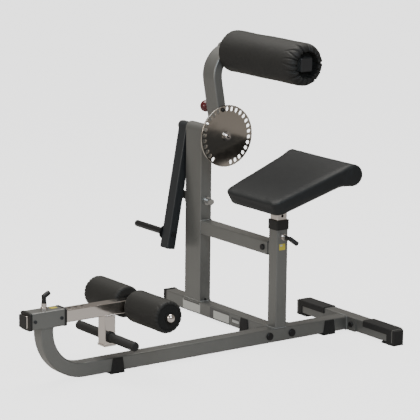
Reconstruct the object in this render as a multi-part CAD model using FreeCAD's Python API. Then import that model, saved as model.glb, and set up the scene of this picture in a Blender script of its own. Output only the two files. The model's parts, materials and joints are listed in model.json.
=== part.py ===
"""Ab and back machine with a weight lever, a tilted seat and a sliding foot carriage.

Millimetres. +X runs along the main rail towards the rear stabilizer, +Y towards the
upright that carries the lever, +Z up. The parts are laid out about the seat post's
foot and moved at export so that the origin is under the middle of the whole machine.
"""
import FreeCAD, Part
import math
import os

V = FreeCAD.Vector

# --- stock sizes -------------------------------------------------------------------
TUBE = 50.8                # square frame tube
WALL = 3.0                 # its wall
CORNER = 5.0               # its outer corner radius
SLIDE = 44.45              # square tube that telescopes inside the frame tube
SLIDE_WALL = 2.5
SLIDE_CORNER = 3.5
PLATE = 6.35               # flange plates
BAR = 25.4                 # round bars and axles
PITCH = 25.4               # spacing of the adjustment holes
PIN_HOLE = 10.6            # diameter of an adjustment hole

BOLT_HOLE = 5.2            # radius of a bolt's hole
RUNNING = 0.05             # radial clearance of a turning fit
SLIDING = 0.3              # play across a tube in its guide

# --- base frame --------------------------------------------------------------------
LIFT = 8.0                 # the tubes stand this far above the floor, on rubber
RAIL_Z = LIFT + TUBE / 2
TOP_Z = LIFT + TUBE        # top face of the tubes on the floor
STAB_X = 341.0             # rear stabilizer axis
STAB_END = 280.0           # half length of its tube
RAIL_END = STAB_X - TUBE / 2 - PLATE
BOLT_OUT = 50.8            # flange bolts stand this far to each side
WASHER = 1.6
NUT = 8.0
BOLT_TAIL = WASHER + NUT + 1.0
LEG_X = -999.5             # upright leg at the foot end of the rail
BEND = 152.4               # bend radius on the tube's axis
CROSS_END = 691.0          # far end of the lower cross tube
BOOT = 3.0                 # rubber boot thickness
BOOT_IN = 116.0            # inner end of a boot
BOOT_FOOT = 225.0          # inner end of the pad under it
BOOT_CLOSED = 252.0        # from here out it covers the whole tube
BOOT_END = 289.0           # outer end of a boot

# --- foot carriage -----------------------------------------------------------------
COLLAR = 60.0
COLLAR_WALL = 4.0
COLLAR_X = (-1062.0, -933.0)
COLLAR_Z = 233.0
COLLAR_PIN_X = (COLLAR_X[0] + COLLAR_X[1]) / 2
FLANGE = 8.6               # bushing flange thickness
SLIDE_X = (-1080.0, -615.0)
DROP_X = -743.0
DROP_BOTTOM = 107.0
FOOT_BAR_Z = 134.0
FOOT_BAR_END = 181.0
ROLLER_X = -638.0
ROLLER_R = 57.0
ROLLER_Y = (27.0, 229.0)

# --- seat --------------------------------------------------------------------------
POST_TOP = 440.0
POST_COLLAR_Z = (426.0, 461.0)
SEAT_PIN_Z = 400.0
SEAT_TILT = 18.5
SEAT_TOP = 603.4           # height of the seat's top face over the post
PAD_THICK = 46.0
PAD_FRONT = -148.0         # along the slope, from the post's axis
PAD_BACK = 214.0
PAD_HALF_FRONT = 160.0
PAD_HALF_BACK = 194.0
ROLL_R = 42.0              # rolled rear edge
ROLL_AT = (194.0, -34.8)   # along the slope, above the top face
BOARD = 12.0
RIB_Z = 522.0              # lowest edge of the bracket's ribs
SEAT_BOLTS = [(u, y) for u in (-55.0, 75.0) for y in (-38.0, 38.0)]

# --- lever -------------------------------------------------------------------------
UPRIGHT_Y = (452.4, 554.0)
PIVOT_Z = 718.0
MID_Z = 349.4
ARM_Y = (331.0, 407.2)
ARM_WIDE = 38.1
ARM_TILT = 9.9
ARM_STRAIGHT = 212.0       # length of the arm's straight part above the pivot
DISC_Y = (324.0, 330.0)
DISC_R = 116.0
SLOT_CIRCLE = 102.5
SLOT_STEP = 12.0
SLOTS_AHEAD = 15           # slots from the locking pin's round to the rear and down
SLOTS_BEHIND = 11
SLOT_WIDE = 14.0
SLOT_LONG = 18.0
PIN_TILT = 11.5            # the locking pin leans this far from upright
BARREL_R = 9.5             # its barrel through the arm
BOLSTER = (33.8, 1035.2)   # bolster axis, X and Z
BOLSTER_R = 76.2
BOLSTER_Y = (-108.0, 329.0)
WEIGHT_TILT = 10.2
WEIGHT_Y = (561.0, 611.8)
WEIGHT_LONG = 475.0
WEIGHT_WIDE = 38.1
HORN_DOWN = 418.0          # along the weight arm from the pivot
HORN_R = 12.7
HORN_END = 811.0
SCREW_Z = 66.0              # small screw low on the upright
SCREW_R = 2.2
STOP_Z = 454.0             # height of the rubber stop
STOP_R = 15.5
PIVOT = V(0, 0, PIVOT_Z)
PIN_AT = V(-SLOT_CIRCLE * math.sin(math.radians(PIN_TILT)), 0,
           PIVOT_Z + SLOT_CIRCLE * math.cos(math.radians(PIN_TILT)))


# --- placing and building helpers --------------------------------------------------
AXES = {
    "X": (V(0, 1, 0), V(0, 0, 1), V(1, 0, 0)),
    "Y": (V(-1, 0, 0), V(0, 0, 1), V(0, 1, 0)),
    "Z": (V(1, 0, 0), V(0, 1, 0), V(0, 0, 1)),
}
DIRECTIONS = {"X": V(1, 0, 0), "Y": V(0, 1, 0), "Z": V(0, 0, 1)}


def rounded_face(wide, high, radius):
    """Rectangle about the origin in the XY plane, with rounded corners."""
    x, y = wide / 2 - radius, high / 2 - radius
    edges = []
    corners = ((x, y, 0), (-x, y, 90), (-x, -y, 180), (x, -y, 270))
    for (cx, cy, turn), (nx, ny, _) in zip(corners, corners[1:] + corners[:1]):
        points = [
            V(cx + radius * math.cos(math.radians(turn + step)),
              cy + radius * math.sin(math.radians(turn + step)), 0)
            for step in (0, 45, 90)
        ]
        after = math.radians(turn + 90)
        start = V(nx + radius * math.cos(after), ny + radius * math.sin(after), 0)
        edges.append(Part.Arc(*points).toShape())
        edges.append(Part.LineSegment(points[2], start).toShape())
    return Part.Face(Part.Wire(edges))


def lay(shape, axis, at):
    """Turn a shape built up from the XY plane so that its Z lies along an axis."""
    x, y, z = AXES[axis]
    shape.Placement = FreeCAD.Placement(FreeCAD.Matrix(
        x.x, y.x, z.x, at.x, x.y, y.y, z.y, at.y, x.z, y.z, z.z, at.z, 0, 0, 0, 1))
    return shape


def bar(axis, start, length, wide, high, radius):
    """Solid rounded bar: start is the middle of its first end."""
    return lay(rounded_face(wide, high, radius).extrude(V(0, 0, length)), axis, start)


def tube(axis, start, length, wide, high, radius, wall):
    outer = bar(axis, start, length, wide, high, radius)
    inner = bar(axis, start, length, wide - 2 * wall, high - 2 * wall, radius - wall)
    return outer.cut(inner)


def frame_tube(axis, start, length):
    return tube(axis, start, length, TUBE, TUBE, CORNER, WALL)


def slide_tube(axis, start, length):
    return tube(axis, start, length, SLIDE, SLIDE, SLIDE_CORNER, SLIDE_WALL)


def rod(axis, start, length, radius):
    return Part.makeCylinder(radius, length, start, DIRECTIONS[axis])


def ring(axis, start, length, outer, inner):
    return rod(axis, start, length, outer).cut(rod(axis, start, length, inner))


def box(x0, x1, y0, y1, z0, z1):
    return Part.makeBox(x1 - x0, y1 - y0, z1 - z0, V(x0, y0, z0))


def hexagon(axis, start, length, across):
    """Hexagonal prism with its corners pointing up and down its own Y."""
    radius = across / math.sqrt(3)
    points = [V(radius * math.sin(math.radians(60 * i)), radius * math.cos(math.radians(60 * i)), 0)
              for i in range(7)]
    return lay(Part.Face(Part.makePolygon(points)).extrude(V(0, 0, length)), axis, start)


def turned(shape, angle, at):
    """Turn a shape about the Y direction through a point."""
    copy = shape.copy()
    copy.rotate(at, V(0, 1, 0), angle)
    return copy


def join(shapes):
    first, *rest = shapes
    return first.fuse(rest).removeSplitter()


def group(shapes):
    return Part.makeCompound(shapes)


def bolt(axis, start, grip, head_r=11.0, head=6.0, shank=5.0):
    """Round-headed bolt with a washer and a nut: start is under its head."""
    step = DIRECTIONS[axis]
    parts = [Part.makeCylinder(shank, grip + BOLT_TAIL, start, step)]
    head_solid = Part.makeCylinder(head_r, head, start - step * head, step)
    rim = [e for e in head_solid.Edges if isinstance(e.Curve, Part.Circle)
           and (e.Curve.Center - start).Length > head / 2]
    parts.append(head_solid.makeFillet(head * 0.4, rim))
    screw = join(parts)
    first = start + step * grip
    washer = Part.makeCylinder(10, WASHER, first, step)
    nut = hexagon(axis, first + step * WASHER, NUT, 16)
    fixing = washer.fuse(nut).removeSplitter()
    return [screw, fixing.cut(Part.makeCylinder(shank, BOLT_TAIL, first, step))]


# --- base frame --------------------------------------------------------------------
def main_rail():
    """Floor tube that bends up into the leg under the foot collar."""
    centre_z = RAIL_Z + BEND
    bend_x = LEG_X + BEND
    flat = frame_tube("X", V(bend_x, 0, RAIL_Z), RAIL_END - bend_x)
    leg = frame_tube("Z", V(LEG_X, 0, centre_z), COLLAR_Z - COLLAR / 2 - centre_z)
    outer = rounded_face(TUBE, TUBE, CORNER)
    inner = rounded_face(TUBE - 2 * WALL, TUBE - 2 * WALL, CORNER - WALL)
    elbow = lay(outer.cut(inner), "X", V(bend_x, 0, RAIL_Z)).revolve(
        V(bend_x, 0, centre_z), V(0, 1, 0), 90)
    rail = join([flat, elbow, leg])
    for x in (-BOLT_OUT, BOLT_OUT):
        rail = rail.cut(rod("Y", V(x, -40, RAIL_Z), 80, BOLT_HOLE))
    return rail


def rear_stabilizer():
    beam = frame_tube("Y", V(STAB_X, -STAB_END, RAIL_Z), 2 * STAB_END)
    for y in (-BOLT_OUT, BOLT_OUT):
        beam = beam.cut(rod("X", V(STAB_X - 40, y, RAIL_Z), 80, BOLT_HOLE))
    return beam


def flange_plates():
    """The plate welded to the rail's rear end and the one on the lower cross tube."""
    rear = bar("X", V(RAIL_END, 0, RAIL_Z), PLATE, 3 * TUBE, TUBE, 4)
    cross = bar("Y", V(0, TUBE / 2, RAIL_Z), PLATE, 3 * TUBE, TUBE, 4)
    for out in (-BOLT_OUT, BOLT_OUT):
        rear = rear.cut(rod("X", V(RAIL_END - 5, out, RAIL_Z), 20, BOLT_HOLE))
        cross = cross.cut(rod("Y", V(out, 20, RAIL_Z), 20, BOLT_HOLE))
    return group([rear, cross])


def frame_bolts():
    """Two bolts at each flange, one through the middle cross tube, a screw low on the upright."""
    solids = []
    for out in (-BOLT_OUT, BOLT_OUT):
        solids += bolt("X", V(RAIL_END, out, RAIL_Z), PLATE + TUBE)
        solids += bolt("Y", V(out, -TUBE / 2, RAIL_Z), TUBE + PLATE, head_r=14)
    solids += bolt("X", V(-TUBE / 2, 60, MID_Z), TUBE)
    screw = rod("Y", V(0, UPRIGHT_Y[0] - 2.5, SCREW_Z), 2.5, 4.2)
    solids.append(screw.fuse(rod("Y", V(0, UPRIGHT_Y[0] - 2.5, SCREW_Z), 9, SCREW_R)).removeSplitter())
    return group(solids)


def prism(points, thrust):
    """Solid from a closed outline of points, pushed along a vector."""
    return Part.Face(Part.makePolygon(points + points[:1])).extrude(thrust)


def nose(shape, x, side, inner, end, wide, high, run, taper):
    """Taper the last stretch of a cap whose axis runs along Y at x."""
    half, tip = wide / 2, wide / 2 - taper
    plan = prism([V(x - half, side * inner, -1), V(x + half, side * inner, -1),
                  V(x + half, side * (end - run), -1), V(x + tip, side * end, -1),
                  V(x - tip, side * end, -1), V(x - half, side * (end - run), -1)], V(0, 0, high + 2))
    lift = prism([V(x - half, side * inner, 0), V(x - half, side * inner, high),
                  V(x - half, side * (end - run), high), V(x - half, side * end, high - taper),
                  V(x - half, side * end, 0)], V(wide, 0, 0))
    return shape.common(plan).common(lift)


def stabilizer_boots():
    """Rubber end boots: closed top and end, an open stretch on each side, a pad on the floor."""
    boots = []
    wide = TUBE + 2 * BOOT
    high = TOP_Z + BOOT
    for side in (-1, 1):
        low = min(side * BOOT_IN, side * BOOT_END)
        body = bar("Y", V(STAB_X, low, high / 2), BOOT_END - BOOT_IN, wide, high, 5)
        body = nose(body, STAB_X, side, BOOT_IN, BOOT_END, wide, high, 22, 7)
        body = body.cut(bar("Y", V(STAB_X, -STAB_END, RAIL_Z), 2 * STAB_END, TUBE, TUBE, CORNER))
        for far, floor in ((BOOT_FOOT, -1), (BOOT_CLOSED, LIFT)):
            near = side * (BOOT_IN - 1)
            body = body.cut(box(STAB_X - wide, STAB_X + wide, min(near, side * far),
                                max(near, side * far), floor, LIFT + 30))
        boots.append(body)
    return group(boots)


def lower_cross_tube():
    return frame_tube("Y", V(0, TUBE / 2 + PLATE, RAIL_Z), CROSS_END - TUBE / 2 - PLATE)


def lower_cross_cap():
    """End cap with its skirt over the tube's end, standing on the floor."""
    wide = TUBE + 4
    high = TOP_Z + 2
    cap = bar("Y", V(0, CROSS_END - 13, high / 2), 22, wide, high, 5)
    cap = nose(cap, 0, 1, CROSS_END - 13, CROSS_END + 9, wide, high, 9, 7)
    return cap.cut(bar("Y", V(0, 0, RAIL_Z), CROSS_END, TUBE, TUBE, CORNER))


def saddle(axis, centre):
    """Rubber foot that wraps the underside and both sides of a tube, wider at the floor."""
    foot_half, top_half, thick = 28.0, 19.5, 3.5
    top = TOP_Z - 2.5
    wide = TUBE + 2 * thick
    along = DIRECTIONS[axis]
    across = V(0, wide, 0) if axis == "X" else V(wide, 0, 0)
    outline = [along * -foot_half, along * foot_half, along * top_half + V(0, 0, top),
               along * -top_half + V(0, 0, top)]
    block = prism([point - across * 0.5 for point in outline], across)
    block = block.common(bar(axis, V(0, 0, top / 2) - along * foot_half, 2 * foot_half, wide, top, 2.5))
    channel = bar(axis, V(0, 0, RAIL_Z) - along * foot_half * 2, foot_half * 4, TUBE, TUBE, CORNER)
    foot = block.cut(channel)
    foot.translate(centre)
    return foot


def rubber_feet():
    """Two saddles under the main rail and one under the lower cross tube."""
    return group([
        saddle("X", V(-714.0, 0, 0)),
        saddle("X", V(226.0, 0, 0)),
        saddle("Y", V(0, 165.0, 0)),
    ])


def upright():
    """Upright tube with a half-round top about the pivot and a hole for its housing."""
    deep = UPRIGHT_Y[1] - UPRIGHT_Y[0]
    middle = (UPRIGHT_Y[0] + UPRIGHT_Y[1]) / 2
    outer = bar("Z", V(0, middle, TOP_Z), PIVOT_Z - TOP_Z, TUBE, deep, 4)
    round_top = rod("Y", V(0, UPRIGHT_Y[0], PIVOT_Z), deep, TUBE / 2)
    inner = bar("Z", V(0, middle, TOP_Z), PIVOT_Z - TOP_Z, TUBE - 2 * WALL, deep - 2 * WALL, 1.5)
    round_in = rod("Y", V(0, UPRIGHT_Y[0] + WALL, PIVOT_Z), deep - 2 * WALL, TUBE / 2 - WALL)
    post = join([outer, round_top]).cut(inner).cut(round_in)
    post = post.cut(rod("Y", V(0, UPRIGHT_Y[0] - 1, PIVOT_Z), deep + 2, 20.0))
    post = post.cut(rod("Y", V(0, UPRIGHT_Y[0] - 1, SCREW_Z), 2 + WALL, SCREW_R))
    return post.cut(rod("Y", V(4, UPRIGHT_Y[0] - 1, STOP_Z - 5), deep + 2, BOLT_HOLE))


def pivot_housing():
    """Steel tube welded through the upright, which holds the axle's bushings."""
    return ring("Y", V(0, UPRIGHT_Y[0] - 3, PIVOT_Z), UPRIGHT_Y[1] - UPRIGHT_Y[0] + 5, 20.0, 16.0)


def housing_bushings():
    """Flanged bushings pressed into both ends of the housing."""
    running = BAR / 2 + RUNNING
    front = ring("Y", V(0, UPRIGHT_Y[0] - 3, PIVOT_Z), 28, 16.0, running)
    front = front.fuse(ring("Y", V(0, UPRIGHT_Y[0] - 6, PIVOT_Z), 3, 20.0, running))
    back = ring("Y", V(0, UPRIGHT_Y[1] - 26, PIVOT_Z), 28, 16.0, running)
    back = back.fuse(ring("Y", V(0, UPRIGHT_Y[1] + 2, PIVOT_Z), 3, 20.0, running))
    return group([front.removeSplitter(), back.removeSplitter()])


def mid_cross_tube():
    beam = frame_tube("Y", V(0, 33.0, MID_Z), UPRIGHT_Y[0] - 33.0)
    return beam.cut(rod("X", V(-40, 60, MID_Z), 80, BOLT_HOLE))


def seat_post():
    """Outer post with the stub that carries the middle cross tube."""
    post = frame_tube("Z", V(0, 0, TOP_Z), POST_TOP - TOP_Z)
    inside = TUBE - 2 * WALL
    stub = tube("Y", V(0, TUBE / 2, MID_Z), 66, inside - 0.4, inside - 0.4, 5.0, 4.0)
    stub = stub.cut(rod("X", V(-40, 60, MID_Z), 80, BOLT_HOLE))
    post = post.fuse(stub)
    return post.cut(rod("Y", V(0, -40, SEAT_PIN_Z), 30, 6.2))


def seat_post_collar():
    """Plastic guide: a skirt over the post and a close hole around the seat stem."""
    low, high = POST_COLLAR_Z
    body = bar("Z", V(0, 0, low), high - low, 57, 57, 7)
    body = body.cut(bar("Z", V(0, 0, low), POST_TOP - low, TUBE, TUBE, CORNER))
    return body.cut(bar("Z", V(0, 0, low), high - low, SLIDE + SLIDING, SLIDE + SLIDING, SLIDE_CORNER))


def stop_parts():
    """Bolt with its big washer, the plate it holds and the rubber stop on that plate."""
    front, back = UPRIGHT_Y
    x, z = 4.0, STOP_Z - 5
    stud = rod("Y", V(x, front - 26, z), 26 + back - front + 13, 5.0)
    head = hexagon("Y", V(x, front - 30, z), 9, 22)
    washer = ring("Y", V(x, front - 4, z), 4, 16.0, 5.0)
    spacer = ring("Y", V(x, front - 21, z), 17, 9.0, 5.0)
    nut = hexagon("Y", V(x, back + 5, z), NUT, 16).cut(rod("Y", V(x, back, z), 20, 5.0))
    bolt_set = group([stud.fuse(head).removeSplitter(), washer, spacer, nut])
    tilt = math.radians(WEIGHT_TILT)
    arm_face = WEIGHT_WIDE / 2 / math.cos(tilt) - (PIVOT_Z - STOP_Z) * math.tan(tilt)
    stop_x = arm_face + (STOP_R + 0.3) / math.cos(tilt)
    plate = bar("Y", V(-2, back, STOP_Z - 3), 5, 44, 42, 5)
    plate = plate.cut(rod("Y", V(x, back - 1, z), 8, BOLT_HOLE))
    plate = plate.fuse(rod("Y", V(stop_x, back + 5, STOP_Z), 48, 4.0)).removeSplitter()
    rubber = ring("Y", V(stop_x, back + 13.5, STOP_Z), 39.5, STOP_R, 4.0)
    return bolt_set, plate, rubber


# --- foot collar and carriage ------------------------------------------------------
def foot_collar():
    x0, x1 = COLLAR_X
    sleeve = tube("X", V(x0, 0, COLLAR_Z), x1 - x0, COLLAR, COLLAR, 6, COLLAR_WALL)
    sleeve = sleeve.cut(rod("Z", V(COLLAR_PIN_X, 0, COLLAR_Z), 60, 6.2))
    for x in (x0 + 12, x1 - 12):
        sleeve = sleeve.cut(rod("Y", V(x, -40, COLLAR_Z), 30, 2.6))
    return sleeve


def collar_bushings():
    """Plastic liners with a flange at each mouth of the collar."""
    inside = COLLAR - 2 * COLLAR_WALL
    liners = []
    for mouth, way in ((COLLAR_X[0], 1), (COLLAR_X[1], -1)):
        low = min(mouth, mouth + way * 36)
        outer_low = min(mouth, mouth - way * FLANGE)
        liner = bar("X", V(low, 0, COLLAR_Z), 36, inside, inside, 2)
        liner = liner.fuse(bar("X", V(outer_low, 0, COLLAR_Z), FLANGE, COLLAR + 3, COLLAR + 3, 8))
        bore = bar("X", V(low - 20, 0, COLLAR_Z), 80, SLIDE + SLIDING, SLIDE + SLIDING, SLIDE_CORNER)
        liner = liner.removeSplitter().cut(bore)
        liner = liner.cut(rod("Y", V(mouth + way * 12, -40, COLLAR_Z), 30, 2.6))
        liners.append(liner)
    return group(liners)


def collar_screws():
    screws = []
    for x in (COLLAR_X[0] + 12, COLLAR_X[1] - 12):
        head = rod("Y", V(x, -COLLAR / 2 - 3, COLLAR_Z), 3, 6.0)
        socket = hexagon("Y", V(x, -COLLAR / 2 - 3, COLLAR_Z), 2, 5)
        shank = rod("Y", V(x, -COLLAR / 2, COLLAR_Z), 7.0, 2.6)
        screws.append(head.fuse(shank).removeSplitter().cut(socket))
    return group(screws)


def foot_slide_tube():
    x0, x1 = SLIDE_X
    body = slide_tube("X", V(x0, 0, COLLAR_Z), x1 - x0)
    for step in range(7):
        body = body.cut(rod("Z", V(COLLAR_PIN_X + step * PITCH, 0, COLLAR_Z), 40, PIN_HOLE / 2))
    body = body.cut(rod("Y", V(ROLLER_X, -40, COLLAR_Z), 80, BAR / 2))
    return body


def drop_tube():
    top = COLLAR_Z - SLIDE / 2
    body = slide_tube("Z", V(DROP_X, 0, DROP_BOTTOM), top - DROP_BOTTOM)
    return body.cut(rod("Y", V(DROP_X, -40, FOOT_BAR_Z), 80, BAR / 2))


def carriage_caps():
    """Plastic plugs in both ends of the slide tube."""
    inside = SLIDE - 2 * SLIDE_WALL
    solids = []
    for x, way in ((SLIDE_X[0], -1), (SLIDE_X[1], 1)):
        plug = bar("X", V(min(x, x + way * 3), 0, COLLAR_Z), 3, SLIDE, SLIDE, SLIDE_CORNER)
        stem = bar("X", V(min(x, x - way * 8), 0, COLLAR_Z), 8, inside, inside, 1)
        solids.append(plug.fuse(stem).removeSplitter())
    return group(solids)


def drop_tube_foot():
    """Plate with a short stem that closes the drop tube's lower end."""
    inside = SLIDE - 2 * SLIDE_WALL
    base = bar("Z", V(DROP_X, 0, DROP_BOTTOM - 6), 6, SLIDE + 4, SLIDE + 4, 4)
    stem = bar("Z", V(DROP_X, 0, DROP_BOTTOM), 10, inside, inside, 1)
    return base.fuse(stem).removeSplitter()


def foot_bar():
    return ring("Y", V(DROP_X, -FOOT_BAR_END + 4, FOOT_BAR_Z), 2 * FOOT_BAR_END - 8, BAR / 2, BAR / 2 - 2)


def foot_grips():
    """Rubber grips with a collar at the tube and a rounded closed end."""
    solids = []
    start = SLIDE / 2 + 1.5
    for side in (-1, 1):
        low = min(side * start, side * FOOT_BAR_END)
        grip = rod("Y", V(DROP_X, low, FOOT_BAR_Z), FOOT_BAR_END - start, 16.5)
        end_y = side * FOOT_BAR_END
        rim = [e for e in grip.Edges if isinstance(e.Curve, Part.Circle)
               and abs(e.Curve.Center.y - end_y) < 0.1]
        grip = grip.makeFillet(6, rim)
        collar_low = min(side * start, side * (start + 6))
        grip = grip.fuse(rod("Y", V(DROP_X, collar_low, FOOT_BAR_Z), 6, 20.0)).removeSplitter()
        reach = FOOT_BAR_END - 4
        grip = grip.cut(rod("Y", V(DROP_X, -reach, FOOT_BAR_Z), 2 * reach, BAR / 2))
        solids.append(grip)
    return group(solids)


def roller_axle():
    return rod("Y", V(ROLLER_X, -ROLLER_Y[1] - 6, COLLAR_Z), 2 * ROLLER_Y[1] + 12, BAR / 2)


def roller_caps():
    """Domed caps that keep the rollers on their axle."""
    solids = []
    for side in (-1, 1):
        base = side * (ROLLER_Y[1] + 0.6)
        at = V(ROLLER_X, base, COLLAR_Z)
        low = base if side > 0 else base - 5
        cap = rod("Y", V(ROLLER_X, low, COLLAR_Z), 5, 16.0)
        ball = Part.makeSphere(16.0, at + V(0, side * 5, 0))
        keep = box(ROLLER_X - 20, ROLLER_X + 20, min(base + side * 5, base + side * 40),
                   max(base + side * 5, base + side * 40), COLLAR_Z - 20, COLLAR_Z + 20)
        cap = cap.fuse(ball.common(keep)).removeSplitter()
        end = ROLLER_Y[1] + 6
        cap = cap.cut(rod("Y", V(ROLLER_X, -end, COLLAR_Z), 2 * end, BAR / 2))
        solids.append(cap)
    return group(solids)


def roller(side):
    """Foam sleeve with soft shoulders, and the plastic tube that it turns on."""
    low = min(side * ROLLER_Y[0], side * ROLLER_Y[1])
    long = ROLLER_Y[1] - ROLLER_Y[0]
    foam = rod("Y", V(ROLLER_X, low + 1, COLLAR_Z), long - 2, ROLLER_R)
    foam = foam.makeFillet(16, [e for e in foam.Edges if isinstance(e.Curve, Part.Circle)])
    foam = foam.cut(rod("Y", V(ROLLER_X, low, COLLAR_Z), long, 17.0))
    core = ring("Y", V(ROLLER_X, low, COLLAR_Z), long, 17.0, BAR / 2 + RUNNING)
    return foam, core


# --- spring pull pins --------------------------------------------------------------
HANDLE_LOW = 23.5          # bottom of a pin's handle above its seat
HANDLE_STEM = 26.5         # the plunger ends here, inside the handle


def coil(wire_r, coil_r, long, turns):
    """Spring about Z with its wire's centre running from the XY plane up."""
    path = Part.makeHelix(long / turns, long, coil_r)
    circle = Part.Wire(Part.Circle(V(coil_r, 0, 0), V(0, 1, 0), wire_r).toShape())
    return Part.Wire(path.Edges).makePipeShell([circle], True, True)


def pull_pin(reach):
    """A pull pin standing on the XY plane, its tip reaching below: barrel, plunger, spring."""
    nut, high, roof = 9.0, 23.0, 20.0
    tip_r, shoulder_r, stem_r, bore_r = 4.75, 7.0, 3.5, 7.6
    shoulder = (1.0, 3.5)
    barrel = hexagon("Z", V(0, 0, 0), nut, 22).fuse(rod("Z", V(0, 0, nut), high - nut, 9.5))
    barrel = barrel.removeSplitter().cut(rod("Z", V(0, 0, 0), roof, bore_r))
    barrel = barrel.cut(rod("Z", V(0, 0, 0), high + 5, stem_r + RUNNING))
    plunger = join([
        rod("Z", V(0, 0, -reach), reach + shoulder[0], tip_r),
        rod("Z", V(0, 0, shoulder[0]), shoulder[1] - shoulder[0], shoulder_r),
        rod("Z", V(0, 0, shoulder[1]), HANDLE_STEM - shoulder[1], stem_r),
    ])
    plunger = plunger.makeFillet(1.2, [e for e in plunger.Edges if isinstance(e.Curve, Part.Circle)
                                       and abs(e.Curve.Center.z + reach) < 0.01])
    spring = coil(0.6, 5.6, roof - shoulder[1] - 1.6, 5)
    spring.translate(V(0, 0, shoulder[1] + 0.8))
    return barrel, plunger, spring


def pin_handle(lean, way, long):
    """Moulded L handle above a pin: a round stem and a leaning grip."""
    stem = Part.makeCone(8.5, 7.8, 22, V(0, 0, HANDLE_LOW))
    grip = rod("Z", V(0, 0, -6), long, 8.6)
    grip = grip.makeFillet(4, [e for e in grip.Edges if isinstance(e.Curve, Part.Circle)])
    grip.rotate(V(0, 0, 0), V(0, 1, 0), lean)
    grip.rotate(V(0, 0, 0), V(0, 0, 1), way)
    grip.translate(V(0, 0, 46.5))
    handle = stem.fuse(grip).removeSplitter()
    return handle.cut(rod("Z", V(0, 0, HANDLE_LOW - 1), HANDLE_STEM - HANDLE_LOW + 1, 3.5))


def foot_pin():
    """On the collar's top; the tip stops just above the slide tube."""
    at = V(COLLAR_PIN_X, 0, COLLAR_Z + COLLAR / 2)
    pieces = [*pull_pin(COLLAR / 2 - SLIDE / 2 - 0.8), pin_handle(66, 8, 32)]
    for piece in pieces:
        piece.translate(at)
    return pieces


def seat_pin():
    """On the seat post's -Y face, its handle hanging down and to the rear."""
    pieces = [*pull_pin(TUBE / 2 - SLIDE / 2 - 0.6), pin_handle(62, -42, 40)]
    for piece in pieces:
        piece.rotate(V(0, 0, 0), V(1, 0, 0), 90)
        piece.translate(V(0, -TUBE / 2, SEAT_PIN_Z))
    return pieces


# --- seat --------------------------------------------------------------------------
def on_slope(shape):
    """Tilt a shape built with X along the slope and Z square to it."""
    shape = turned(shape, -SEAT_TILT, V(0, 0, 0))
    shape.translate(V(0, 0, SEAT_TOP))
    return shape


def plan(front, back, half_front, half_back, low, high, corner):
    """Tapered outline with rounded corners, extruded between two heights."""
    points = [V(front, -half_front, low), V(back, -half_back, low), V(back, half_back, low),
              V(front, half_front, low), V(front, -half_front, low)]
    solid = Part.Face(Part.makePolygon(points)).extrude(V(0, 0, high - low))
    upright_edges = [e for e in solid.Edges
                     if abs(e.Vertexes[0].Point.z - e.Vertexes[1].Point.z) > 1]
    return solid.makeFillet(corner, upright_edges)


def board_plan(low, high):
    return plan(PAD_FRONT + 18, 150, PAD_HALF_FRONT - 24, PAD_HALF_BACK - 28, low, high, 30)


def seat_board():
    board = board_plan(-PAD_THICK, -PAD_THICK + BOARD)
    for u, y in SEAT_BOLTS:
        board = board.cut(rod("Z", V(u, y, -PAD_THICK - 1), 20, 3.2))
    return board


def seat_pad():
    """Cushion with a crowned front edge and a rolled rear edge."""
    slab = plan(PAD_FRONT, PAD_BACK, PAD_HALF_FRONT, PAD_HALF_BACK, -PAD_THICK, 0, 34)
    rims = [e for e in slab.Edges if abs(e.Vertexes[0].Point.z) < 0.1
            and abs(e.Vertexes[-1].Point.z) < 0.1 and e.BoundBox.XMin < PAD_BACK - 30]
    slab = slab.makeFillet(12, rims)
    roll_x, roll_z = ROLL_AT
    half = PAD_HALF_BACK + 0.5
    roll = rod("Y", V(roll_x, -half, roll_z), 2 * half, ROLL_R)
    roll = roll.makeFillet(14, [e for e in roll.Edges if isinstance(e.Curve, Part.Circle)])
    slab = slab.cut(box(roll_x, roll_x + 90, -260, 260, -90, 40))
    pad = slab.fuse(roll)
    return pad.cut(board_plan(-PAD_THICK - 1, -PAD_THICK + BOARD))


def seat_bracket():
    """Plate under the board with two side ribs, welded over the stem."""
    top = -PAD_THICK
    plate = bar("X", V(-85, 0, top - 2.5), 190, 110, 5, 1.5)
    for u, y in SEAT_BOLTS:
        plate = plate.cut(rod("Z", V(u, y, top - 8), 10, 3.2))
    bracket = on_slope(plate)
    rib_thick = 4.0
    above = on_slope(box(-300, 300, -100, 100, top - 5, 200))
    for start in (-SLIDE / 2 - rib_thick, SLIDE / 2):
        points = [V(-70, start, SEAT_TOP), V(-45, start, RIB_Z), V(30, start, RIB_Z),
                  V(85, start, SEAT_TOP)]
        rib = Part.Face(Part.makePolygon(points + points[:1])).extrude(V(0, rib_thick, 0))
        bracket = bracket.fuse(rib.cut(above))
    return bracket.removeSplitter()


def seat_bolts():
    solids = []
    for u, y in SEAT_BOLTS:
        under = -PAD_THICK - 5
        head = hexagon("Z", V(u, y, under - 4), 4, 10)
        solids.append(on_slope(head.fuse(rod("Z", V(u, y, under), 15, 3.2)).removeSplitter()))
    return group(solids)


def seat_stem():
    stem = slide_tube("Z", V(0, 0, 150), 480)
    above = on_slope(box(-300, 300, -100, 100, -PAD_THICK - 5, 300))
    stem = stem.cut(above)
    for step in range(-7, 4):
        stem = stem.cut(rod("Y", V(0, -40, SEAT_PIN_Z + step * PITCH), 30, PIN_HOLE / 2))
    return stem


# --- lever -------------------------------------------------------------------------
def pivot_axle():
    return rod("Y", V(0, DISC_Y[0] - 2, PIVOT_Z), WEIGHT_Y[1] + 2 - DISC_Y[0] + 2, BAR / 2)


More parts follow.
